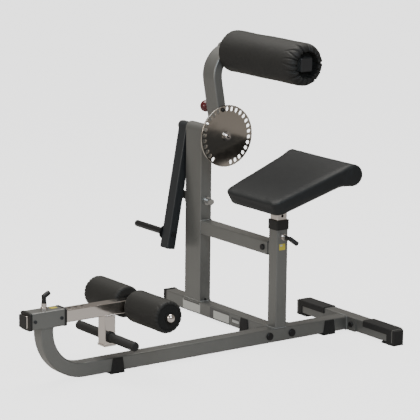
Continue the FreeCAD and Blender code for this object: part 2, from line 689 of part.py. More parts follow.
def selector_disc():
    """Disc with radial slots, welded to the axle; the lowest slots are left out."""
    thick = DISC_Y[1] - DISC_Y[0]
    disc = rod("Y", V(0, DISC_Y[0], PIVOT_Z), thick, DISC_R)
    rim = [e for e in disc.Edges if isinstance(e.Curve, Part.Circle)]
    disc = disc.makeFillet(1.2, rim)
    slots = []
    for index in range(-SLOTS_BEHIND, SLOTS_AHEAD + 1):
        slot = bar("Y", V(0, DISC_Y[0] - 1, PIVOT_Z + SLOT_CIRCLE), thick + 2,
                   SLOT_WIDE, SLOT_LONG, SLOT_WIDE / 2 - 0.01)
        slots.append(turned(slot, index * SLOT_STEP - PIN_TILT, PIVOT))
    disc = disc.cut(slots)
    return disc.cut(rod("Y", V(0, DISC_Y[0] - 1, PIVOT_Z), thick + 2, BAR / 2))


def axle_bolts():
    """Washer and domed bolt on both ends of the axle."""
    solids = []
    for face, way in ((DISC_Y[0] - 2, -1), (WEIGHT_Y[1] + 2, 1)):
        low = min(face, face + way * 3)
        washer = rod("Y", V(0, low, PIVOT_Z), 3, 18.0)
        head_low = min(face + way * 3, face + way * 10)
        head = rod("Y", V(0, head_low, PIVOT_Z), 7, 11.0)
        outer = face + way * 10
        rim = [e for e in head.Edges if isinstance(e.Curve, Part.Circle)
               and abs(e.Curve.Center.y - outer) < 0.1]
        head = head.makeFillet(3, rim)
        socket = hexagon("Y", V(0, min(outer, outer - way * 4), PIVOT_Z), 4, 10)
        solids.append(washer.fuse(head).removeSplitter().cut(socket))
    return group(solids)


def arm_path():
    """Straight tilted run, then an arc over to the bolster's axis: end points and arc."""
    tilt = math.radians(ARM_TILT)
    along = V(-math.sin(tilt), 0, math.cos(tilt))
    across = V(math.cos(tilt), 0, math.sin(tilt))
    start = PIVOT + along * ARM_STRAIGHT
    goal = V(BOLSTER[0], 0, BOLSTER[1])
    to_goal = goal - start
    radius = to_goal.dot(to_goal) / (2 * to_goal.dot(across))
    centre = start + across * radius
    spread = math.degrees((start - centre).getAngle(goal - centre))
    return along, start, centre, spread


def upper_arm():
    """Rectangular tube bent over at the top, with a pivot tube at its foot."""
    along, start, centre, spread = arm_path()
    deep = ARM_Y[1] - ARM_Y[0]
    middle = (ARM_Y[0] + ARM_Y[1]) / 2
    sections = [
        (ARM_WIDE, deep, 6.0),
        (ARM_WIDE - 2 * WALL, deep - 2 * WALL, 3.0),
    ]
    skins = []
    for wide, high, radius in sections:
        foot = bar("Z", V(0, middle, PIVOT_Z), ARM_STRAIGHT, wide, high, radius)
        foot = turned(foot, -ARM_TILT, PIVOT)
        face = lay(rounded_face(wide, high, radius), "Z", V(0, middle, PIVOT_Z + ARM_STRAIGHT))
        face = turned(face, -ARM_TILT, PIVOT)
        bend = face.revolve(V(centre.x, middle, centre.z), V(0, 1, 0), spread)
        skins.append(join([foot, bend]))
    round_foot = rod("Y", V(0, ARM_Y[0], PIVOT_Z), deep, ARM_WIDE / 2)
    arm = join([skins[0].cut(skins[1]), round_foot])
    tip = V(BOLSTER[0], 0, BOLSTER[1])
    arm = join([arm, rod("Y", V(tip.x, ARM_Y[0], tip.z), deep, TUBE / 2)])
    arm = arm.cut(rod("Y", V(0, ARM_Y[0] - 1, PIVOT_Z), deep + 2, 16.0))
    return arm.cut(rod("Y", V(PIN_AT.x, ARM_Y[0] - 1, PIN_AT.z), deep + 2, BARREL_R))


def arm_bushings():
    running = BAR / 2 + RUNNING
    front = ring("Y", V(0, ARM_Y[0], PIVOT_Z), 30, 16.0, running)
    back = ring("Y", V(0, ARM_Y[1] - 30, PIVOT_Z), 30, 16.0, running)
    back = back.fuse(ring("Y", V(0, ARM_Y[1], PIVOT_Z), 4, 21.0, running)).removeSplitter()
    return group([front, back])


def spacer_sleeve():
    """Steel sleeve on the axle between the arm and the upright."""
    low = ARM_Y[1] + 4.6
    return ring("Y", V(0, low, PIVOT_Z), UPRIGHT_Y[0] - 6.4 - low, 18.0, BAR / 2)


def bolster_tube():
    start = BOLSTER_Y[0] + 8
    body = frame_tube("Y", V(BOLSTER[0], start, BOLSTER[1]), ARM_Y[0] - start)
    return body


def bolster_plug():
    inside = TUBE - 2 * WALL
    at = BOLSTER_Y[0] + 8
    cap = bar("Y", V(BOLSTER[0], at - 4, BOLSTER[1]), 4, TUBE, TUBE, CORNER)
    rim = [e for e in cap.Edges if e.BoundBox.YMax < at - 3.9]
    cap = cap.makeChamfer(2.5, rim)
    stem = bar("Y", V(BOLSTER[0], at, BOLSTER[1]), 12, inside, inside, CORNER - WALL)
    return cap.fuse(stem).removeSplitter()


def bolster_pad():
    """Foam roll in a cover drawn in around the tube's end."""
    y0, y1 = BOLSTER_Y
    roll = rod("Y", V(BOLSTER[0], y0, BOLSTER[1]), y1 - y0, BOLSTER_R)
    roll = roll.makeFillet(26, [e for e in roll.Edges if isinstance(e.Curve, Part.Circle)])
    roll = roll.cut(bar("Y", V(BOLSTER[0], y0 - 1, BOLSTER[1]), y1 - y0 + 2, TUBE, TUBE, CORNER))
    return roll.cut(rod("Y", V(BOLSTER[0], y0 - 1, BOLSTER[1]), 23, 46.0))


def arm_pin():
    """Pull pin through the arm: barrel, plunger, spring and ball knob."""
    x, z = PIN_AT.x, PIN_AT.z
    front, back = ARM_Y
    tip_r, shoulder_r, stem_r = 6.0, 7.6, 4.0
    step_y, roof_y = front + 34, front + 70
    barrel = rod("Y", V(x, front, z), back - front, BARREL_R)
    barrel = barrel.fuse(hexagon("Y", V(x, back, z), 3, 24)).removeSplitter()
    barrel = barrel.cut(rod("Y", V(x, front, z), step_y - front, tip_r + RUNNING))
    barrel = barrel.cut(rod("Y", V(x, step_y, z), roof_y - step_y, 8.0))
    barrel = barrel.cut(rod("Y", V(x, step_y, z), 66, stem_r + RUNNING))
    tip, end = front + 0.2, front + 90.2
    plunger = join([
        rod("Y", V(x, tip, z), step_y - tip, tip_r),
        rod("Y", V(x, step_y, z), 4, shoulder_r),
        rod("Y", V(x, step_y + 4, z), end - step_y - 4, stem_r),
    ])
    spring = coil(0.7, 6.2, roof_y - step_y - 4 - 2.4, 6)
    spring.rotate(V(0, 0, 0), V(1, 0, 0), -90)
    spring.translate(V(x, step_y + 4 + 1.2, z))
    knob = Part.makeSphere(22.0, V(x, 431.5, z))
    knob = knob.cut(box(x - 30, x + 30, back, back + 4, z - 30, z + 30))
    knob = knob.cut(rod("Y", V(x, back, z), end - back, stem_r))
    return barrel, plunger, spring, knob


def weight_arm():
    """Tube that hangs from the axle, closed and rounded at both ends."""
    middle = (WEIGHT_Y[0] + WEIGHT_Y[1]) / 2
    deep = WEIGHT_Y[1] - WEIGHT_Y[0]
    outer = bar("Z", V(0, middle, PIVOT_Z - WEIGHT_LONG), WEIGHT_LONG, WEIGHT_WIDE, deep, 5)
    corners = [e for e in outer.Edges if e.BoundBox.ZMax < PIVOT_Z - WEIGHT_LONG + 1]
    outer = outer.makeFillet(4.5, corners)
    round_top = rod("Y", V(0, WEIGHT_Y[0], PIVOT_Z), deep, WEIGHT_WIDE / 2)
    inner = bar("Z", V(0, middle, PIVOT_Z - WEIGHT_LONG + 8), WEIGHT_LONG - 40,
                WEIGHT_WIDE - 2 * WALL, deep - 2 * WALL, 2)
    arm = join([outer, round_top]).cut(inner)
    arm = arm.cut(rod("Y", V(0, WEIGHT_Y[0] - 1, PIVOT_Z), deep + 2, BAR / 2))
    arm = turned(arm, WEIGHT_TILT, PIVOT)
    x, z = horn_centre()
    return arm.cut(rod("Y", V(x, WEIGHT_Y[0] - 1, z), deep + 2, 6.0))


def horn_centre():
    tilt = math.radians(WEIGHT_TILT)
    return -HORN_DOWN * math.sin(tilt), PIVOT_Z - HORN_DOWN * math.cos(tilt)


def weight_horn():
    """Plate horn with its flange and the bolt that holds it through the weight arm."""
    x, z = horn_centre()
    start = WEIGHT_Y[1]
    flange = rod("Y", V(x, start, z), 6, 28.0)
    pin = rod("Y", V(x, start + 6, z), HORN_END - start - 6, HORN_R)
    tip = [e for e in pin.Edges if isinstance(e.Curve, Part.Circle)
           and abs(e.Curve.Center.y - HORN_END) < 0.1]
    pin = pin.makeChamfer(2.5, tip)
    stud = rod("Y", V(x, WEIGHT_Y[0] - 1.4, z), start - WEIGHT_Y[0] + 1.4, 6.0)
    head = rod("Y", V(x, WEIGHT_Y[0] - 4, z), 4, 10.0)
    return join([flange, pin, stud, head])


# --- export ------------------------------------------------------------------------
def parts():
    """Every node by name."""
    stop_bolt, stop_plate, rubber_stop = stop_parts()
    foot = foot_pin()
    seat = seat_pin()
    arm_set = arm_pin()
    left_foam, left_core = roller(1)
    right_foam, right_core = roller(-1)
    return {
        "main_rail": main_rail(),
        "rear_stabilizer": rear_stabilizer(),
        "flange_plates": flange_plates(),
        "frame_bolts": frame_bolts(),
        "stabilizer_boots": stabilizer_boots(),
        "lower_cross_tube": lower_cross_tube(),
        "lower_cross_cap": lower_cross_cap(),
        "rubber_feet": rubber_feet(),
        "upright": upright(),
        "pivot_housing": pivot_housing(),
        "housing_bushings": housing_bushings(),
        "mid_cross_tube": mid_cross_tube(),
        "seat_post": seat_post(),
        "seat_post_collar": seat_post_collar(),
        "stop_bolt": stop_bolt,
        "stop_plate": stop_plate,
        "rubber_stop": rubber_stop,
        "foot_collar": foot_collar(),
        "collar_bushings": collar_bushings(),
        "collar_screws": collar_screws(),
        "foot_slide_tube": foot_slide_tube(),
        "drop_tube": drop_tube(),
        "carriage_caps": carriage_caps(),
        "drop_tube_foot": drop_tube_foot(),
        "foot_bar": foot_bar(),
        "foot_grips": foot_grips(),
        "roller_axle": roller_axle(),
        "roller_caps": roller_caps(),
        "foam_roller_left": left_foam,
        "roller_core_left": left_core,
        "foam_roller_right": right_foam,
        "roller_core_right": right_core,
        "foot_pin_barrel": foot[0],
        "foot_pin_plunger": foot[1],
        "foot_pin_spring": foot[2],
        "foot_pin_handle": foot[3],
        "seat_pin_barrel": seat[0],
        "seat_pin_plunger": seat[1],
        "seat_pin_spring": seat[2],
        "seat_pin_handle": seat[3],
        "seat_board": on_slope(seat_board()),
        "seat_pad": on_slope(seat_pad()),
        "seat_bracket": seat_bracket(),
        "seat_bolts": seat_bolts(),
        "seat_stem": seat_stem(),
        "pivot_axle": pivot_axle(),
        "spacer_sleeve": spacer_sleeve(),
        "selector_disc": selector_disc(),
        "axle_bolts": axle_bolts(),
        "upper_arm": upper_arm(),
        "arm_bushings": arm_bushings(),
        "bolster_tube": bolster_tube(),
        "bolster_plug": bolster_plug(),
        "bolster_pad": bolster_pad(),
        "arm_pin_barrel": arm_set[0],
        "arm_pin_plunger": arm_set[1],
        "arm_pin_spring": arm_set[2],
        "arm_pin_knob": arm_set[3],
        "weight_arm": weight_arm(),
        "weight_horn": weight_horn(),
    }


def main():
    os.makedirs("parts", exist_ok=True)
    low_x = SLIDE_X[0] - 3
    high_x = RAIL_END + PLATE + TUBE + BOLT_TAIL
    middle = V((low_x + high_x) / 2, (HORN_END - BOOT_END) / 2, 0)
    print("origin moved by", middle)
    for name, shape in parts().items():
        shape = shape.copy()
        shape.translate(middle * -1)
        if not shape.isValid():
            print("not valid:", name)
        shape.exportStep("parts/" + name + ".step")
        print(name, len(shape.Solids), round(shape.Volume / 1000, 1), "cm3")


main()
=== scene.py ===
"""Looks of the ab and back machine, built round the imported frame.

Metres. +X runs to the rear stabilizer, +Y to the upright, +Z up.
"""
import bmesh
import bpy
import json
import math
import random
from mathutils import Matrix, Vector, noise


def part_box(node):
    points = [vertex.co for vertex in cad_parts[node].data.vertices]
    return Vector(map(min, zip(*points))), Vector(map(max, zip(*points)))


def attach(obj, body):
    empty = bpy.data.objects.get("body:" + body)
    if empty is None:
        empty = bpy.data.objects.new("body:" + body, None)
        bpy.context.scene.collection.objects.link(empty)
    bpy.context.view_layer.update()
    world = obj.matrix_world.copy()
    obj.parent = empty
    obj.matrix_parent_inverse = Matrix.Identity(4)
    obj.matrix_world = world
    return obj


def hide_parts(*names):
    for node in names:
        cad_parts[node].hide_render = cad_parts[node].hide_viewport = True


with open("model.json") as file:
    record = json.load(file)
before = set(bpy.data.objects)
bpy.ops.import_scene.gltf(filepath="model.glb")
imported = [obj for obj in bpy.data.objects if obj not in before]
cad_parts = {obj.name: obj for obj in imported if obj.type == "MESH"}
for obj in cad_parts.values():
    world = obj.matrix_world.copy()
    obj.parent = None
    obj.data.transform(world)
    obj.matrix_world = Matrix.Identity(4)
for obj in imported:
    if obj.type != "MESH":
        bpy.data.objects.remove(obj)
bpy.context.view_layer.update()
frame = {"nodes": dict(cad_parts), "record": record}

STEM_LOW, STEM_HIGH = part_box("seat_stem")
POST_FOOT = Vector(((STEM_LOW.x + STEM_HIGH.x) / 2, (STEM_LOW.y + STEM_HIGH.y) / 2, 0))
TUBE = 50.8
SEAT_TILT = math.radians(18.5)
SEAT_TOP = 603.4


def at(x, y, z):
    """A point given in millimetres from the seat post's foot."""
    return POST_FOOT + Vector((x, y, z)) / 1000


# --- shader sheets -----------------------------------------------------------------
class Value:
    """A socket that adds Math nodes when it is used in sums."""

    def __init__(self, finish, socket):
        self.finish = finish
        self.socket = socket

    def sum(self, operation, first, second):
        return self.finish.node("ShaderNodeMath", {"operation": operation}, {0: first, 1: second})

    def __add__(self, other):
        return self.sum("ADD", self, other)

    __radd__ = __add__

    def __sub__(self, other):
        return self.sum("SUBTRACT", self, other)

    def __rsub__(self, other):
        return self.sum("SUBTRACT", other, self)

    def __mul__(self, other):
        return self.sum("MULTIPLY", self, other)

    __rmul__ = __mul__

    def above(self, low, high):
        """0 below low, 1 above high, smooth between."""
        return self.finish.node("ShaderNodeMapRange", {"interpolation_type": "SMOOTHSTEP"},
                                {"Value": self, "From Min": low, "From Max": high})


class Finish:
    """A material whose shader is filled in by its maker."""

    def __init__(self, name, **sockets):
        self.material = bpy.data.materials.new(name)
        self.material.use_nodes = True
        self.tree = self.material.node_tree
        self.shader = self.tree.nodes["Principled BSDF"]
        self.place = self.node("ShaderNodeTexCoord", {}, {}, "Object")
        for key, value in sockets.items():
            self.set(key.replace("_", " ").title().replace("Ior", "IOR"), value)

    def node(self, kind, settings, sockets, output=0):
        made = self.tree.nodes.new(kind)
        for key, value in settings.items():
            setattr(made, key, value)
        for key, value in sockets.items():
            self.feed(made.inputs[key], value)
        return Value(self, made.outputs[output])

    def feed(self, socket, value):
        if isinstance(value, Value):
            self.tree.links.new(value.socket, socket)
        elif hasattr(value, "__len__") and socket.type == "RGBA" and len(value) == 3:
            socket.default_value = (*value, 1)
        else:
            socket.default_value = value

    def set(self, name, value):
        self.feed(self.shader.inputs[name], value)

    def stretch(self, x, y, z):
        """Object coordinates stretched before a pattern reads them."""
        return self.node("ShaderNodeMapping", {}, {"Vector": self.place, "Scale": (x, y, z)})

    def noise(self, scale, detail=2.0, rough=0.5, vector=None):
        return self.node("ShaderNodeTexNoise", {},
                         {"Vector": vector or self.place, "Scale": scale, "Detail": detail,
                          "Roughness": rough})

    def cells(self, scale, feature="F1", vector=None):
        return self.node("ShaderNodeTexVoronoi", {"feature": feature},
                         {"Vector": vector or self.place, "Scale": scale})

    def blend(self, amount, first, second):
        """Colour between two colours or colour sockets."""
        return self.node("ShaderNodeMix", {"data_type": "RGBA"},
                         {0: amount, 6: first, 7: second}, 2)

    def bump(self, height, depth, normal=None):
        sockets = {"Height": height, "Strength": 1.0, "Distance": depth}
        if normal is not None:
            sockets["Normal"] = normal
        return self.node("ShaderNodeBump", {}, sockets)

    def edges(self, radius):
        """1 along sharp edges, 0 on flats."""
        soft = self.node("ShaderNodeBevel", {"samples": 4}, {"Radius": radius})
        flat = self.node("ShaderNodeNewGeometry", {}, {}, "Normal")
        facing = self.node("ShaderNodeVectorMath", {"operation": "DOT_PRODUCT"},
                           {0: soft, 1: flat}, "Value")
        return (1 - facing).above(0.02, 0.22)


def shade(colour, factor):
    return tuple(min(1.0, c * factor) for c in colour)


def powder_coat(name, colour, metal, rough):
    """Sprayed paint: mottled, with orange peel, fine fleck, and sharp edges made lighter as rubbed-edge
    wear and a painted edge highlight.
    """
    coat = Finish(name, metallic=metal, coat_weight=0.25, coat_roughness=0.18)
    mottle = coat.noise(9.0, 3.0)
    fleck = coat.noise(1900.0, 1.0)
    peel = coat.noise(520.0, 2.0)
    rubbed = coat.edges(0.0016)
    tone = coat.blend(mottle, shade(colour, 0.92), shade(colour, 1.08))
    tone = coat.blend(fleck.above(0.56, 0.72) * 0.35, tone, shade(colour, 1.5))
    # sharp edges made lighter under a noise mask: partly rubbed-edge wear, partly a painted edge
    # highlight
    tone = coat.blend(rubbed * (0.25 + 0.5 * coat.noise(60.0)), tone, shade(colour, 1.45))
    coat.set("Base Color", tone)
    coat.set("Roughness", rough - 0.05 + 0.1 * mottle + 0.05 * peel)
    coat.set("Normal", coat.bump(peel, 0.00022))
    return coat.material


def plated(name, colour, rough, lines=0.0, along=(1, 1, 1)):
    """Bright plate with faint wiping marks, or drawn lines along one direction."""
    plate = Finish(name, metallic=1.0)
    smudge = plate.noise(26.0, 4.0, 0.6)
    drawn = plate.noise(90.0, 2.0, 0.5, plate.stretch(*along))
    plate.set("Base Color", plate.blend(smudge, shade(colour, 0.94), colour))
    plate.set("Roughness", rough + 0.07 * smudge.above(0.4, 0.75) + lines * drawn)
    plate.set("Normal", plate.bump(drawn, 0.00004 + 0.0002 * lines))
    return plate.material


def moulded(name, colour, rough, grain=0.00012, scale=900.0):
    """Moulded plastic or rubber: fine spark grain and faint dust."""
    part = Finish(name)
    dust = part.noise(14.0, 4.0, 0.6)
    spark = part.cells(scale)
    part.set("Base Color", part.blend(dust.above(0.45, 0.8) * 0.5, colour, shade(colour, 1.7)))
    part.set("Roughness", rough + 0.1 * dust)
    part.set("Normal", part.bump(spark, grain))
    return part.material


def glossy(name, colour):
    part = Finish(name, roughness=0.16, coat_weight=0.6, coat_roughness=0.05)
    depth = part.noise(30.0, 3.0)
    part.set("Base Color", part.blend(depth, shade(colour, 0.7), colour))
    return part.material


def vinyl(name, colour):
    """Upholstery vinyl: pebble grain in two sizes over a soft sheen."""
    skin = Finish(name, sheen_weight=0.04, sheen_roughness=0.4, specular_ior_level=0.45)
    skin.set("Sheen Tint", (0.62, 0.72, 0.85))
    pebble = skin.cells(620.0, "SMOOTH_F1")
    fine = skin.noise(1500.0, 2.0)
    rubbed = skin.noise(6.0, 3.0)
    skin.set("Base Color", skin.blend(rubbed, shade(colour, 0.85), shade(colour, 1.25)))
    skin.set("Roughness", 0.4 + 0.12 * rubbed + 0.12 * pebble)
    grain = skin.bump(pebble, 0.00035)
    skin.set("Normal", skin.bump(fine, 0.00008, grain))
    return skin.material


def woven(name, colour, light, threads):
    """Cover cloth: a plain weave that follows the thread coordinates of the piece."""
    cloth = Finish(name, sheen_weight=0.06, sheen_roughness=0.5, roughness=0.6)
    cloth.set("Sheen Tint", (0.75, 0.76, 0.66))
    thread = cloth.node("ShaderNodeAttribute", {"attribute_name": "thread"}, {}, "Vector")
    parts = cloth.tree.nodes.new("ShaderNodeSeparateXYZ")
    cloth.feed(parts.inputs[0], thread)
    waves = []
    for axis in (0, 1):
        turns = Value(cloth, parts.outputs[axis]) * (threads * math.pi)
        waves.append(cloth.node("ShaderNodeMath", {"operation": "SINE"}, {0: turns}))
    weave = 0.5 + 0.5 * (waves[0] * waves[1])
    fuzz = cloth.noise(800.0, 3.0)
    worn = cloth.noise(11.0, 4.0)
    tone = cloth.blend(worn, colour, light)
    cloth.set("Base Color", cloth.blend(0.35 * weave + 0.25 * fuzz, shade(colour, 0.7), tone))
    cloth.set("Normal", cloth.bump(fuzz, 0.0002, cloth.bump(weave, 0.00016)))
    return cloth.material


def foam(name, colour):
    """Cut closed-cell foam, with painted shade darkening the pore hollows."""
    block = Finish(name, roughness=0.92)
    pores = block.cells(480.0)
    # painted shade: the colour is darker in the pore hollows
    block.set("Base Color", block.blend(pores.above(0.2, 0.6), shade(colour, 0.5), colour))
    block.set("Normal", block.bump(pores, 0.0005))
    return block.material


def plywood(name):
    """Plywood seen from below, with plies at its edge."""
    board = Finish(name, roughness=0.62)
    grain = board.noise(5.0, 6.0, 0.6, board.stretch(1, 14, 14))
    plies = board.node("ShaderNodeTexWave", {"bands_direction": "Z"},
                       {"Vector": board.place, "Scale": 120.0, "Distortion": 1.0})
    tone = board.blend(grain, (0.42, 0.28, 0.15), (0.6, 0.44, 0.27))
    board.set("Base Color", board.blend(plies * 0.25, tone, (0.25, 0.15, 0.08)))
    board.set("Normal", board.bump(grain, 0.0004))
    return board.material


def printed(name, colour):
    """Coated label stock."""
    film = Finish(name, roughness=0.35, coat_weight=0.3, coat_roughness=0.2)
    film.set("Base Color", film.blend(film.noise(40.0), shade(colour, 0.93), colour))
    return film.material


PAINT = (0.232, 0.236, 0.228)
FINISHES = {
    "frame_paint": powder_coat("warm grey coat", PAINT, 0.7, 0.36),
    "black_paint": powder_coat("black coat", (0.026, 0.030, 0.034), 0.15, 0.34),
    # the chrome's warm pinkish tint is a painted warm reflection of the surroundings
    "chrome": plated("chrome", (0.86, 0.80, 0.76), 0.09),
    "steel": plated("zinc steel", (0.58, 0.58, 0.57), 0.24, 0.12),
    "rubber": moulded("black rubber", (0.018, 0.018, 0.018), 0.62, 0.00018, 700.0),
    "black_plastic": moulded("black plastic", (0.016, 0.016, 0.016), 0.42),
    "red_plastic": glossy("dark red knob", (0.11, 0.004, 0.010)),
    "foam": woven("roller cloth", (0.012, 0.012, 0.011), (0.020, 0.020, 0.017), 900.0),
    "vinyl": vinyl("black vinyl", (0.014, 0.016, 0.017)),
    "cover": woven("bolster cloth", (0.010, 0.010, 0.010), (0.017, 0.017, 0.016), 900.0),
    "wood": plywood("plywood"),
    "nylon": moulded("nylon", (0.55, 0.52, 0.45), 0.45),
}
FOAM = foam("cut foam", (0.014, 0.014, 0.013))
YELLOW = printed("yellow label", (0.75, 0.62, 0.06))
WHITE = printed("white label", (0.62, 0.63, 0.60))
PRINT = printed("label print", (0.10, 0.10, 0.10))
DISC_PLATE = plated("polished disc", (0.66, 0.61, 0.55), 0.10, 0.05)
# the plug's plastic is made about twice as light as the other black plastic: painted light on its lit
# face
PLUG = moulded("tube plug", (0.030, 0.030, 0.031), 0.36)
BOLTS = moulded("black oxide bolts", (0.009, 0.009, 0.010), 0.36)
HORN = plated("dark steel", (0.085, 0.088, 0.092), 0.3, 0.1, (1, 0.1, 1))


# --- making pieces -----------------------------------------------------------------
def clear():
    if bpy.context.object and bpy.context.object.mode != "OBJECT":
        bpy.ops.object.mode_set(mode="OBJECT")
    bpy.ops.object.select_all(action="DESELECT")


def take(piece):
    """Make a piece the only selected and active one."""
    clear()
    piece.select_set(True)
    bpy.context.view_layer.objects.active = piece


def settle(piece):
    """Put a piece's place into its mesh."""
    take(piece)
    bpy.ops.object.transform_apply(location=True, rotation=True, scale=True)


def pick(piece, kind, test):
    """In edit mode, select the vertices, edges or faces that pass a test on their middle."""
    bpy.ops.mesh.select_mode(type=kind)
    bpy.ops.mesh.select_all(action="DESELECT")
    mesh = bmesh.from_edit_mesh(piece.data)
    items = {"VERT": mesh.verts, "EDGE": mesh.edges, "FACE": mesh.faces}[kind]
    for item in items:
        corners = [item] if kind == "VERT" else item.verts
        middle = sum((v.co for v in corners), Vector()) / len(corners)
        item.select_set(bool(test(middle, item)))
    bmesh.update_edit_mesh(piece.data)


def edit(piece):
    take(piece)
    bpy.ops.object.mode_set(mode="EDIT")


def done():
    bpy.ops.object.mode_set(mode="OBJECT")


def apply(piece, kind, **settings):
    """Add a modifier, set it and apply it."""
    take(piece)
    modifier = piece.modifiers.new(kind.lower(), kind)
    for key, value in settings.items():
        setattr(modifier, key, value)
    bpy.ops.object.modifier_apply(modifier=modifier.name)


def weld_up(piece):
    """Merge doubles and point every face outwards."""
    edit(piece)
    bpy.ops.mesh.select_all(action="SELECT")
    bpy.ops.mesh.remove_doubles(threshold=1e-5)
    bpy.ops.mesh.normals_make_consistent(inside=False)
    done()


def keep(piece, name, body, slot, finish=None, stands_for=(), angle=35):
    """Name, smooth, paint and hang a finished piece on its body."""
    take(piece)
    bpy.ops.object.shade_smooth_by_angle(angle=math.radians(angle))
    piece.name = name
    piece.data.name = name
    piece.data.materials.clear()
    piece.data.materials.append(finish or FINISHES[slot])
    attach(piece, body)
    if stands_for:
        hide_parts(*stands_for)
    return piece


def join(pieces):
    take(pieces[0])
    for piece in pieces:
        piece.select_set(True)
    bpy.ops.object.join()
    return bpy.context.object


def cylinder(start, end, radius, sides=48):
    """Closed cylinder between two points."""
    clear()
    along = end - start
    bpy.ops.mesh.primitive_cylinder_add(vertices=sides, radius=radius, depth=along.length,
                                        location=(start + end) / 2,
                                        rotation=along.to_track_quat("Z", "Y").to_euler())
    piece = bpy.context.object
    settle(piece)
    return piece


def polyline(name, points, closed):
    """A curve of straight steps through a list of points."""
    path = bpy.data.curves.new(name, "CURVE")
    path.dimensions = "3D"
    line = path.splines.new("POLY")
    line.points.add(len(points) - 1)
    for spot, point in zip(line.points, points):
        spot.co = (*point, 1)
    line.use_cyclic_u = closed
    piece = bpy.data.objects.new(name, path)
    bpy.context.scene.collection.objects.link(piece)
    return piece


def outline_piece(points, closed=False):
    """Edges along a list of points, from a polyline turned into a mesh."""
    take(polyline("outline", points, closed))
    bpy.ops.object.convert(target="MESH")
    return bpy.context.object


def spun(outline, centre, steps):
    """Spin an outline of (radius, y) millimetre pairs about an axis along Y."""
    piece = outline_piece([centre + Vector((0, y, r)) / 1000 for r, y in outline])
    edit(piece)
    bpy.ops.mesh.select_all(action="SELECT")
    bpy.ops.mesh.spin(steps=steps, angle=math.tau, center=centre, axis=(0, 1, 0))
    done()
    weld_up(piece)
    return piece


def arc(cx, cy, radius, start, end, steps):
    """Outline points on an arc, angles in degrees from the radius direction."""
    return [(cx + radius * math.cos(math.radians(start + (end - start) * i / steps)),
             cy + radius * math.sin(math.radians(start + (end - start) * i / steps)))
            for i in range(steps + 1)]


def run(first, last, step):
    """Points between two outline points, without the ends."""
    count = max(1, round(math.dist(first, last) / step))
    return [(first[0] + (last[0] - first[0]) * i / count,
             first[1] + (last[1] - first[1]) * i / count) for i in range(1, count)]


def loop_points(centre, across, up, wide, high, radius, steps=5):
    """Rounded rectangle of points round a joint."""
    points = []
    for index, (sx, sy) in enumerate(((1, 1), (-1, 1), (-1, -1), (1, -1))):
        for i in range(steps + 1):
            turn = math.radians(90 * (index + i / steps))
            x = sx * (wide / 2 - radius) + radius * math.cos(turn)
            y = sy * (high / 2 - radius) + radius * math.sin(turn)
            points.append(centre + (across * x + up * y) / 1000)
    return points


def bead(name, points, body, slot, size=3.2):
    """A weld: one squashed drop, arrayed and bent round the joint."""
    guide = polyline(name + "_path", points, True)
    clear()
    bpy.ops.mesh.primitive_uv_sphere_add(segments=8, ring_count=6, radius=size / 1000)
    drop = bpy.context.object
    drop.scale.x = 0.75
    settle(drop)
    apply(drop, "ARRAY", fit_type="FIT_CURVE", curve=guide, use_relative_offset=False,
          use_constant_offset=True, constant_offset_displace=(size * 0.95 / 1000, 0, 0))
    apply(drop, "CURVE", object=guide, deform_axis="POS_X")
    bpy.data.objects.remove(guide)
    return keep(drop, name, body, slot, angle=60)


def plate(name, centre, normal, right, wide, high, thick, finish):
    """A thin label with rounded corners, lying on a face."""
    clear()
    bpy.ops.mesh.primitive_cube_add(size=1, scale=(wide / 1000, high / 1000, thick / 1000))
    piece = bpy.context.object
    settle(piece)
    edit(piece)
    pick(piece, "EDGE", lambda middle, e: abs(e.verts[0].co.z - e.verts[1].co.z) > 1e-5)
    bpy.ops.mesh.bevel(offset=min(wide, high) * 0.08 / 1000, segments=4, affect="EDGES")
    done()
    up = normal.cross(right)
    turn = Matrix((right, up, normal)).transposed().to_4x4()
    piece.data.transform(Matrix.Translation(centre + normal * thick / 2000) @ turn)
    return keep(piece, name, "frame", "nylon", finish)


def puff(pad, voxel, pressure, cap, held):
    """Remesh a closed pad, fill it like a sewn cover and cap how far each point may go."""
    apply(pad, "REMESH", mode="VOXEL", voxel_size=voxel, use_smooth_shade=True)
    before = [v.co.copy() for v in pad.data.vertices]
    group = pad.vertex_groups.new(name="held")
    group.add([v.index for v in pad.data.vertices if held(v.co)], 1.0, "REPLACE")
    take(pad)
    cloth = pad.modifiers.new("cloth", "CLOTH")
    cloth.settings.use_pressure = True
    cloth.settings.uniform_pressure_force = pressure
    cloth.settings.effector_weights.gravity = 0
    cloth.settings.vertex_group_mass = "held"
    cloth.settings.quality = 5
    cloth.settings.bending_stiffness = 0.6
    for number in range(1, 21):
        bpy.context.scene.frame_set(number)
    bpy.ops.object.modifier_apply(modifier="cloth")
    bpy.context.scene.frame_set(1)
    for vertex, old in zip(pad.data.vertices, before):
        move = vertex.co - old
        if move.length > cap:
            vertex.co = old + move * (cap / move.length)
    pad.vertex_groups.clear()


# --- seat --------------------------------------------------------------------------
SLOPE = Matrix.Translation(at(0, 0, SEAT_TOP)) @ Matrix.Rotation(-SEAT_TILT, 4, "Y")
FRONT, BACK, HALF_FRONT, HALF_BACK = -148.0, 214.0, 160.0, 194.0
SEAT_LOW = -58.0
DRAWN_IN = 13.0
ROLL_X, ROLL_Z, ROLL_R = 195.0, -36.0, 42.5


def half_width(u):
    return HALF_FRONT + (HALF_BACK - HALF_FRONT) * (u - FRONT) / (BACK - FRONT)


def seat_profile():
    """Side outline along the slope: flat top, rolled rear edge, wrap under the roll."""
    points = [(-150.0, -1.0), (-60.0, 1.5), (60.0, 2.6), (130.0, 3.6), (150.0, 4.2),
              (165.0, 4.8), (180.0, 5.2)]
    points += arc(ROLL_X, ROLL_Z, ROLL_R - 1, 90, -100, 19)
    return points + [(167.0, -69.0), (148.0, -62.0), (132.0, SEAT_LOW), (-138.0, SEAT_LOW)]


